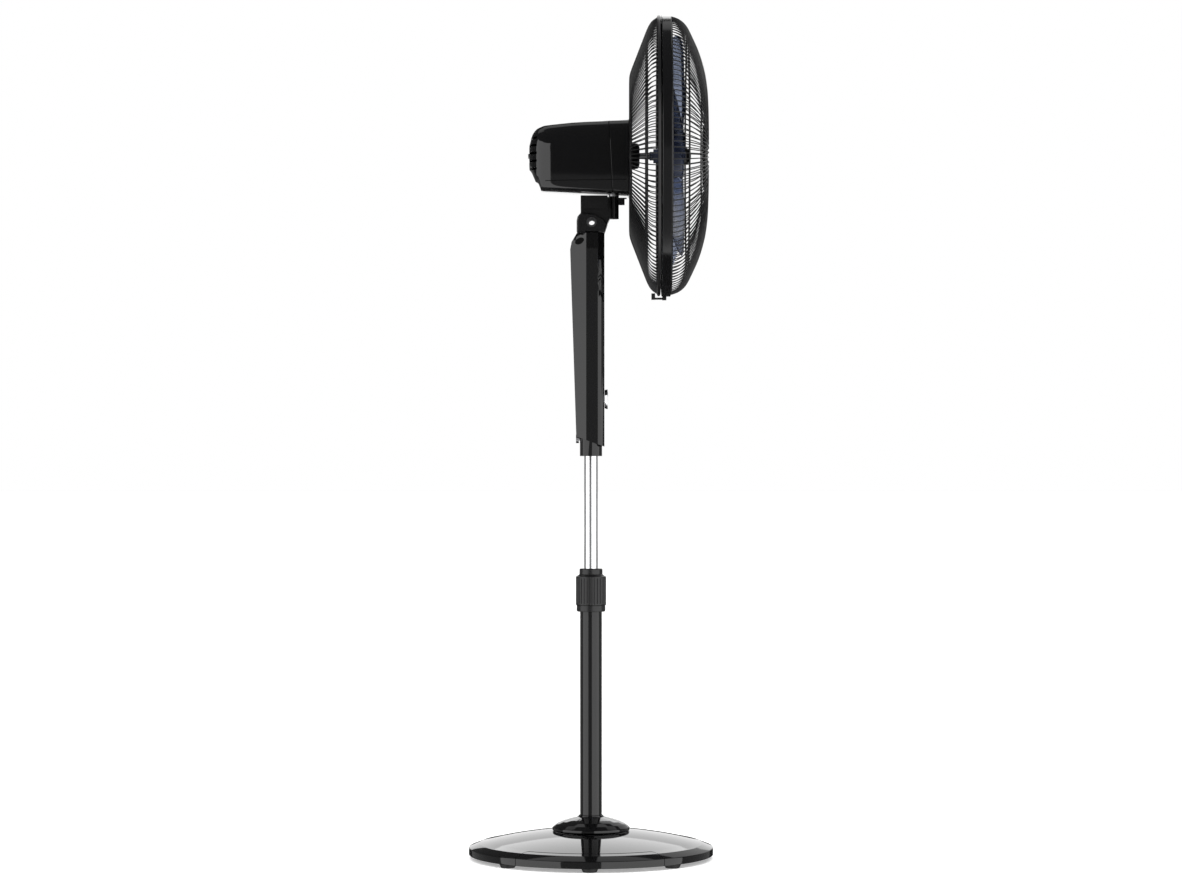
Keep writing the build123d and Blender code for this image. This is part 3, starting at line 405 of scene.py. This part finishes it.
lathe("tilt_pivot_form", [(-25.2, 4.9), (-25.2, 8.0), (25.2, 8.0), (25.2, 4.9)], about_pivot, matt, "tilt_pivot",
      radius=0.7, segments=64)

lathe("dial_ring_form", [(22.0, 12.0), (22.0, 15.0), (26.4, 16.4), (27.0, 15.7), (25.0, 12.0)], about_dial, chrome,
      "dial_ring", radius=0.35, segments=96)
copy_of("dial_knob", satin, bevel=0.4)
for use in ("power", "speed", "swing", "timer"):
    copy_of(f"{use}_button", key_plastic, bevel=0.3)
copy_of("display_window", window, bevel=0.4)

# ---------------------------------------------------------------- motor housing

HOUSING = [
    # x, top, half width, upper corner, bottom
    (-98.7, 1145.0, 17.0, 16.0, 1104.0),
    (-94.3, 1159.5, 31.5, 26.0, 1096.5),
    (-88.5, 1168.0, 41.0, 35.0, 1083.2),
    (-84.0, 1171.4, 45.4, 39.0, 1080.4),
    (-80.0, 1173.2, 48.4, 42.0, 1070.2),
    (-74.0, 1175.6, 51.6, 45.0, 1069.8),
    (-56.0, 1178.2, 56.0, 50.0, 1069.0),
    (-24.0, 1181.5, 58.5, 53.0, 1067.2),
    (28.0, 1184.0, 60.5, 55.0, 1064.3),
    (60.7, 1185.5, 61.5, 56.0, 1062.4),
]
LOW_CORNER = 12.0
HOUSING_MIDDLE_Z = 1123.5
SEAM_LEAN = 3.25 / 60.5  # how far the seam leans in X over each mm of height


def slope(n, column):
    """How fast a column of the housing's table changes with X at row n."""
    low, high = HOUSING[max(0, n - 1)], HOUSING[min(len(HOUSING) - 1, n + 1)]
    return (high[column] - low[column]) / (high[0] - low[0])


def housing_row(x):
    """The housing's top, half width, upper corner and bottom at X, eased between its rows."""
    n = next((k for k in range(len(HOUSING) - 2) if x <= HOUSING[k + 1][0]), len(HOUSING) - 2)
    low, high = HOUSING[n], HOUSING[n + 1]
    step = high[0] - low[0]
    t = (x - low[0]) / step
    eased = []
    for column in (1, 2, 3):
        start = low[column] * (2 * t**3 - 3 * t**2 + 1) + slope(n, column) * step * (t**3 - 2 * t**2 + t)
        end = high[column] * (3 * t**2 - 2 * t**3) + slope(n + 1, column) * step * (t**3 - t**2)
        eased.append(start + end)
    return [*eased, low[4] + (high[4] - low[4]) * t]


def housing_ring(x, inset=0.0, slant=0.0):
    """Points round the housing at X, drawn in by inset. slant 1 leans them like the seam, and 0 not at all."""
    top, half, corner, bottom = housing_row(x)
    bottom, top, half = bottom + inset, top - inset, half - inset
    points = []
    for quarter in range(4):
        reach = (corner if quarter < 2 else min(LOW_CORNER, corner)) - inset
        cy = (half - reach) * (1 if quarter in (0, 3) else -1)
        cz = (top - reach) if quarter < 2 else (bottom + reach)
        for k in range(13):
            a = (quarter + k / 12) * pi / 2
            y, z = cy + reach * cos(a), cz + reach * sin(a)
            points.append(Vector((x + slant * (HOUSING_MIDDLE_Z - z) * SEAM_LEAN, y, z)))
    return points


def skin(bm, rows, cap_start=False, cap_end=False):
    """Joins rows of points with faces, and caps either end."""
    rings = [[bm.verts.new(p * MM) for p in row] for row in rows]
    for lower, upper in zip(rings, rings[1:]):
        for k in range(len(lower)):
            m = (k + 1) % len(lower)
            bm.faces.new([lower[k], lower[m], upper[m], upper[k]])
    if cap_start:
        bm.faces.new(rings[0])
    if cap_end:
        bm.faces.new(rings[-1])


SEAM_X = 31.75
SEAM_GAPS = (0.3, 0.9, 1.8, 3.0)  # rows beside the seam, so that its lip does not bend the wide faces
rear_xs = [-98.7, -98.5, -98.0, -97.2, -96.0, -94.3, -92.4, -90.4, -88.5, -86.2, -84.0, -82.8, -81.4, -80.0, -77.0,
           -74.0, -69.0, -63.0, -56.0, -47.0, -36.0, -24.0, -10.0, 5.0, 20.0]


def rear_rows(inset):
    """The rear cover's rings from its seam to its rear, drawn in by inset."""
    rows = [housing_ring(SEAM_X - gap, inset, 1.0) for gap in SEAM_GAPS]
    if inset == 0.0:
        rows[0] = housing_ring(SEAM_X - SEAM_GAPS[0], 0.5, 1.0)
    rows += [housing_ring(max(x, -98.7 + inset), inset, 0.0) for x in reversed(rear_xs)]
    return rows


bm = bmesh.new()
outside = rear_rows(0.0)
inside = rear_rows(2.2)
skin(bm, list(reversed(outside)), cap_start=True)
skin(bm, inside, cap_end=True)
skin(bm, [outside[0], inside[0]])
rear_cover = place("motor_rear_cover_form", bm, gloss, "motor_rear_cover", sharp=30)

cut_mesh = bmesh.new()
for height in (1103.5, 1116.0, 1128.5, 1141.0, 1153.5):
    for side in (-1, 1):
        low, high = sorted((side * 9.0, side * 60.0))
        corners = soften([(low, height - 1.8), (high, height - 1.8), (high, height + 1.8), (low, height + 1.8)], 1.7, 5)
        skin(cut_mesh, [[Vector((x, y, z)) for y, z in corners] for x in (-101.0, -86.0)], True, True)
bmesh.ops.recalc_face_normals(cut_mesh, faces=cut_mesh.faces)
cutter_data = bpy.data.meshes.new("vent_cutter")
cut_mesh.to_mesh(cutter_data)
cut_mesh.free()
cutter = bpy.data.objects.new("vent_cutter", cutter_data)
bpy.context.scene.collection.objects.link(cutter)
vents = rear_cover.modifiers.new("vents", "BOOLEAN")
vents.object = cutter
vents.solver = "EXACT"
bpy.context.view_layer.update()
cut = bpy.data.meshes.new_from_object(rear_cover.evaluated_get(bpy.context.evaluated_depsgraph_get()))
rear_cover.modifiers.clear()
rear_cover.data = cut
bpy.data.objects.remove(cutter)
for polygon in cut.polygons:
    polygon.use_smooth = True
cut.set_sharp_from_angle(angle=radians(30))

bm = bmesh.new()
front_xs = [*(SEAM_X + gap for gap in SEAM_GAPS), 42.0, 50.0, 58.5, 60.2]
front_outer = [housing_ring(x, 0.0, 1.0 if x < 36 else 0.0) for x in front_xs]
front_outer[0] = housing_ring(front_xs[0], 0.5, 1.0)
front_outer.append(housing_ring(60.7, 0.8, 0.0))
front_inner = [housing_ring(x, 2.2, 1.0 if x < 36 else 0.0) for x in (58.5, 40.0, SEAM_X + 0.3)]
skin(bm, front_outer, cap_end=True)
skin(bm, front_inner, cap_start=True)
skin(bm, [front_inner[-1], front_outer[0]])
place("motor_front_cover_form", bm, gloss, "motor_front_cover", sharp=30)

bm = bmesh.new()
skin(bm, [housing_ring(SEAM_X + dx, 1.3, 1.0) for dx in (-2.5, 2.5)])
place("housing_seam_lip", bm, seam, "motor_rear_cover", stands_for=False)


def shade_line_along_side(side):
    """A thin dark line along the foot of one side of the housing: painted shade standing for the step to a lower shelf.
    """
    return [(x, side * (housing_row(x)[1] - 0.15), 1084.6 + 0.012 * (x - 50.0)) for x in range(-72, 60, 3)]


# These dark lines are painted shade where each side steps to a lower shelf.
wires("housing_painted_shade_lines", [shade_line_along_side(-1), shade_line_along_side(1)], 0.6, seam, "motor_rear_cover", stands_for=False)

copy_of("rear_cover_screw", steel, bevel=0.25)

# ---------------------------------------------------------------- guard

REAR_X = 61.9
REAR_PATH = [(REAR_X, 124.3), (63.6, 133.4), (90.8, 203.2), (95.7, 212.0), (99.7, 216.2), (106.2, 220.4)]
FRONT_PATH = [(126.2, 222.5), (136.9, 219.5), (144.4, 215.1), (150.7, 209.2), (155.5, 201.95), (170.05, 171.1),
              (176.75, 152.1), (181.8, 132.7)]


def bent(points, reach=9.0):
    """An open path with each inner point rounded off."""
    out = [Vector(points[0])]
    for before, here, after in zip(points, points[1:], points[2:]):
        here = Vector(here)
        back = Vector(before) - here
        ahead = Vector(after) - here
        start = here + back.normalized() * min(reach, back.length * 0.48)
        end = here + ahead.normalized() * min(reach, ahead.length * 0.48)
        out += [start * (1 - t) ** 2 + here * (2 * t * (1 - t)) + end * t * t for t in (0, 0.33, 0.67, 1)]
    out.append(Vector(points[-1]))
    return out


def spread(path, count, first):
    """Copies of a path in the fan's half plane, evenly round the axis."""
    step = 2 * pi / count
    return [[about_fan(x, r, first + step * k) for x, r in path] for k in range(count)]


HALF = 75
PITCH = 2 * pi / 150
WIRE_R = 0.85  # thinner than the CAD's 1.1, so that the guard lets as much light through as it should
rear_long = bent([(REAR_X, 70.0), *REAR_PATH])
rear_short = bent([(REAR_X, 102.0), *REAR_PATH])
wires("rear_guard_wires_form", spread(rear_long, HALF, 0.0) + spread(rear_short, HALF, PITCH), WIRE_R, wire_paint,
      "rear_guard_wires")
front_long = bent([*FRONT_PATH, (185.1, 112.9), (186.6, 94.9), (186.8, 78.0), (182.3, 46.0)])
front_short = bent([*FRONT_PATH, (183.1, 125.0)])
wires("front_guard_wires_form", spread(front_long, HALF, 0.0) + spread(front_short, HALF, PITCH), WIRE_R, wire_paint,
      "front_guard_wires")


def beside(start, end, radius, gap):
    """X and radius of a ring that lies against a straight run of wire."""
    start, end = Vector(start), Vector(end)
    way = end - start
    centre = start + way * ((radius - start.y) / way.y) + Vector((-way.y, way.x)).normalized() * gap
    return centre.x, centre.y


def rings(name, spots, node):
    """Round wire rings, each given as X, radius and its wire's radius."""
    for n, (x, radius, thick) in enumerate(spots):
        path = [about_fan(x, radius, 2 * pi * k / 180) for k in range(180)]
        wires(f"{name}_{n}", [path], thick, wire_paint, node, stands_for=False, cyclic=True, resolution=4)
    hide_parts(node)


REAR_RIM_R = 2.8
rim_way = (Vector(REAR_PATH[-1]) - Vector(REAR_PATH[-2])).normalized() * (REAR_RIM_R + 0.1)
rings(
    "rear_ring",
    [
        (*beside(*REAR_PATH[1:3], 193.0, -2.62), 1.5),
        (REAR_X + 2.62, 104.0, 1.5),
        (REAR_PATH[-1][0] + rim_way.x, REAR_PATH[-1][1] + rim_way.y, REAR_RIM_R),
    ],
    "rear_guard_rings",
)
rings(
    "front_ring",
    [
        (*beside(FRONT_PATH[-1], (185.1, 112.9), 129.0, -2.62), 1.5),
        (*beside(*FRONT_PATH[4:6], 198.6, -2.62), 1.5),
        (*beside(*FRONT_PATH[:2], 221.9, -3.35), 2.2),
    ],
    "front_guard_rings",
)

lathe("rear_guard_plate_form",
      [(60.75, 15.2), (60.75, 62.0), (63.05, 67.0), (63.05, 78.0), (64.25, 78.0), (64.25, 66.5), (61.95, 61.5),
       (61.95, 15.2)],
      about_fan, wire_paint, "rear_guard_plate", radius=0.5, segments=160)


def nut_spot(x, r, angle):
    """The guard nut's surface, scalloped round its outside."""
    scallop = max(0.0, cos(24 * angle)) ** 2
    return about_fan(x, r - (0.9 * scallop if r > 19.5 and x > 66.5 else 0.0), angle)


bm = bmesh.new()
revolve(bm, soften([(62.0, 15.1), (62.0, 24.0), (65.0, 24.0), (66.0, 21.5), (75.5, 20.0), (78.0, 14.0), (78.0, 6.5),
                    (74.3, 6.5), (74.3, 15.1)], 0.6), nut_spot, segments=240)
place("guard_nut_form", bm, satin, "guard_nut")

lathe("front_badge_form",
      [(178.5, 42.0), (178.5, 50.0), (180.9, 50.0), (180.9, 44.0), (184.2, 43.5), (187.2, 33.0), (188.1, 20.0),
       (188.2, 0.0), (186.0, 0.0), (185.9, 20.0), (185.1, 31.8), (182.0, 41.2)],
      about_fan, gloss, "front_badge", radius=0.7, segments=128)

copy_of("guard_hoop", hoop_plastic, bevel=0.35)
copy_of("guard_latch", satin, bevel=0.4)

# ---------------------------------------------------------------- blade

lathe("blade_hub_form",
      [(94.0, 3.3), (94.0, 7.0), (100.0, 7.0), (100.0, 11.5), (142.5, 11.5), (142.5, 35.2), (116.0, 35.2),
       (116.0, 37.7), (146.0, 37.7), (149.0, 33.7), (149.0, 20.0), (145.0, 18.0), (145.0, 3.3)],
      about_fan, smoke_hub, "fan_blade", radius=0.8, segments=128)

BLADE = [
    # height above the axis, chord, pitch in degrees, sideways lean
    (36.9, 51.0, 33.5, 0.2),
    (52.0, 64.0, 29.5, 1.0),
    (70.0, 80.0, 25.0, 2.0),
    (95.0, 98.0, 20.6, 4.6),
    (120.0, 111.5, 17.0, 8.0),
    (145.0, 115.5, 15.8, 12.3),
    (165.0, 115.0, 15.0, 16.0),
    (178.0, 103.0, 14.5, 17.6),
    (186.0, 90.0, 14.0, 18.0),
    (191.0, 66.0, 13.7, 18.0),
    (193.4, 46.0, 13.5, 18.0),
]
BLADE_X = 133.0


def blade_rows(face):
    """Points over one face of a blade that stands straight up, rounded to a thin edge."""
    rows = []
    for height, chord, pitch, lean in BLADE:
        row = []
        for k in range(17):
            share = k / 8 - 1
            along = share * chord / 2
            lift = face * 1.05 * sqrt(max(0.0, 1 - abs(share) ** 6))
            a = radians(-pitch)
            x, y = BLADE_X + along * sin(a) + lift * cos(a), along * cos(a) - lift * sin(a) + lean
            row.append(Vector((x, y, height)))
        rows.append(row)
    return rows


bm = bmesh.new()
for n in range(5):
    turn = Matrix.Rotation(radians(72 * n), 3, "X")
    grids = []
    for face in (-1, 1):
        grid = []
        for row in blade_rows(face):
            grid.append([bm.verts.new((turn @ p + Vector((0, 0, AXIS_Z))) * MM) for p in row])
        grids.append(grid)
    back, front = grids
    for grid in grids:
        for lower, upper in zip(grid, grid[1:]):
            for k in range(16):
                bm.faces.new([lower[k], lower[k + 1], upper[k + 1], upper[k]])
    for k in range(16):
        bm.faces.new([back[-1][k], back[-1][k + 1], front[-1][k + 1], front[-1][k]])
        bm.faces.new([back[0][k], back[0][k + 1], front[0][k + 1], front[0][k]])
place("blades_form", bm, smoke, "fan_blade", sharp=50, stands_for=False)

lathe("blade_nut_form",
      [(145.1, 3.3), (145.1, 15.0), (153.1, 14.0), (159.1, 9.0), (160.6, 4.0), (160.6, 0.0), (155.3, 0.0),
       (155.3, 3.3)],
      about_fan, satin, "blade_nut", radius=1.0, segments=96)

# ---------------------------------------------------------------- studio


def glow(name, color, strength):
    """A plain light-giving surface."""
    mat = bpy.data.materials.new(name)
    mat.use_nodes = True
    nodes, links = mat.node_tree.nodes, mat.node_tree.links
    nodes.clear()
    out = nodes.new("ShaderNodeOutputMaterial")
    emission = nodes.new("ShaderNodeEmission")
    emission.inputs["Color"].default_value = (*color, 1.0)
    emission.inputs["Strength"].default_value = strength
    links.new(emission.outputs["Emission"], out.inputs["Surface"])
    return mat


bm = bmesh.new()
far = 40.0
bm.faces.new([bm.verts.new(p) for p in [(-far, -far, 0), (far, -far, 0), (far, far, 0), (-far, far, 0)]])
floor_data = bpy.data.meshes.new("floor")
bm.to_mesh(floor_data)
bm.free()
floor = bpy.data.objects.new("floor", floor_data)
bpy.context.scene.collection.objects.link(floor)
pale_floor = material("pale_floor", (0.86, 0.86, 0.86), 0.7, grain=(30.0, 0.01), wear=(0.88, 0.88, 0.88))
pale_floor.node_tree.nodes["Principled BSDF"].inputs["Emission Color"].default_value = (1, 1, 1, 1)
pale_floor.node_tree.nodes["Principled BSDF"].inputs["Emission Strength"].default_value = 0.35
floor_data.materials.append(pale_floor)
floor.location.z = -0.0002
floor.visible_glossy = False


CARDS = [("upper_dark", 0.06), ("lower_dark", 0.24), ("soft_box", 1.65), ("back_low", 1.3), ("back_high", 2.1),
         ("side_wall", 0.6), ("ceiling", 0.45), ("back_dark", 0.03)]
BACK_TOP = 37.5  # elevation at which the bright back card ends


def card_kind(azimuth, elevation):
    """Index in CARDS of what the gloss sees that way. Degrees from -Y towards +X, and up from the level."""
    from_back = 180 - abs(azimuth)
    if elevation > BACK_TOP:
        return 6 if from_back < 60 and 45 < elevation < 62 else 0
    if 9.5 <= azimuth <= 95 or -92 <= azimuth <= -27:
        return 2
    if from_back < 30 and elevation < -3:
        return 7
    if from_back < min(17, 2.5 * sqrt(BACK_TOP - elevation)):
        return 3 if elevation < 15 else 4
    if azimuth > 130 and elevation > 5.5:
        return 5
    return 0 if elevation > 5 else 1


STEP = 1.25  # degrees each way of one small face of the cards
CARD_R = 12
cards = bmesh.new()
for i in range(int(360 / STEP)):
    for j in range(int(180 / STEP)):
        low_a, low_e = -180 + i * STEP, -90 + j * STEP
        corners = []
        for a, e in ((low_a, low_e), (low_a + STEP, low_e), (low_a + STEP, low_e + STEP), (low_a, low_e + STEP)):
            a, e = radians(a), radians(e)
            corners.append(cards.verts.new(Vector((sin(a) * cos(e), -cos(a) * cos(e), sin(e))) * CARD_R))
        cards.faces.new(corners).material_index = card_kind(low_a + STEP / 2, low_e + STEP / 2)
card_data = bpy.data.meshes.new("studio_cards")
bmesh.ops.remove_doubles(cards, verts=cards.verts, dist=1e-4)
cards.to_mesh(card_data)
cards.free()
card_obj = bpy.data.objects.new("studio_cards", card_data)
bpy.context.scene.collection.objects.link(card_obj)
for card_name, strength in CARDS:
    card_data.materials.append(glow(card_name, (1, 1, 1), strength))
card_obj.location.z = 0.66  # mid height of the fan, in metres
card_obj.visible_camera = False
card_obj.visible_diffuse = False
card_obj.visible_shadow = False
card_obj.visible_transmission = False

world = bpy.data.worlds.new("room")
bpy.context.scene.world = world
world.use_nodes = True
world.node_tree.nodes["Background"].inputs["Color"].default_value = (1, 1, 1, 1)
world.node_tree.nodes["Background"].inputs["Strength"].default_value = 1.0


def area_light(name, spot, target, size, power):
    """A square soft light that the gloss doesn't show."""
    data = bpy.data.lights.new(name, "AREA")
    data.energy = power
    data.size = size
    obj = bpy.data.objects.new(name, data)
    bpy.context.scene.collection.objects.link(obj)
    obj.location = spot
    obj.rotation_euler = (Vector(target) - Vector(spot)).to_track_quat("-Z", "Y").to_euler()
    obj.visible_glossy = False
    return obj


area_light("overhead", (0.0, -0.5, 4.5), (0, 0, 0), 5.0, 120.0)
area_light("key", (-3.0, -3.5, 3.0), (0, 0, 0.8), 2.0, 45.0)

camera_data = bpy.data.cameras.new("camera")
camera_data.sensor_width = 36.0
camera_data.lens = 101.5
camera = bpy.data.objects.new("camera", camera_data)
bpy.context.scene.collection.objects.link(camera)
camera.location = (0.055, -5.353, 0.665)
camera.rotation_euler = (Vector((0.0, 0.0, 0.665)) - camera.location).to_track_quat("-Z", "Y").to_euler()
bpy.context.scene.camera = camera
bpy.context.scene.view_settings.view_transform = "Standard"
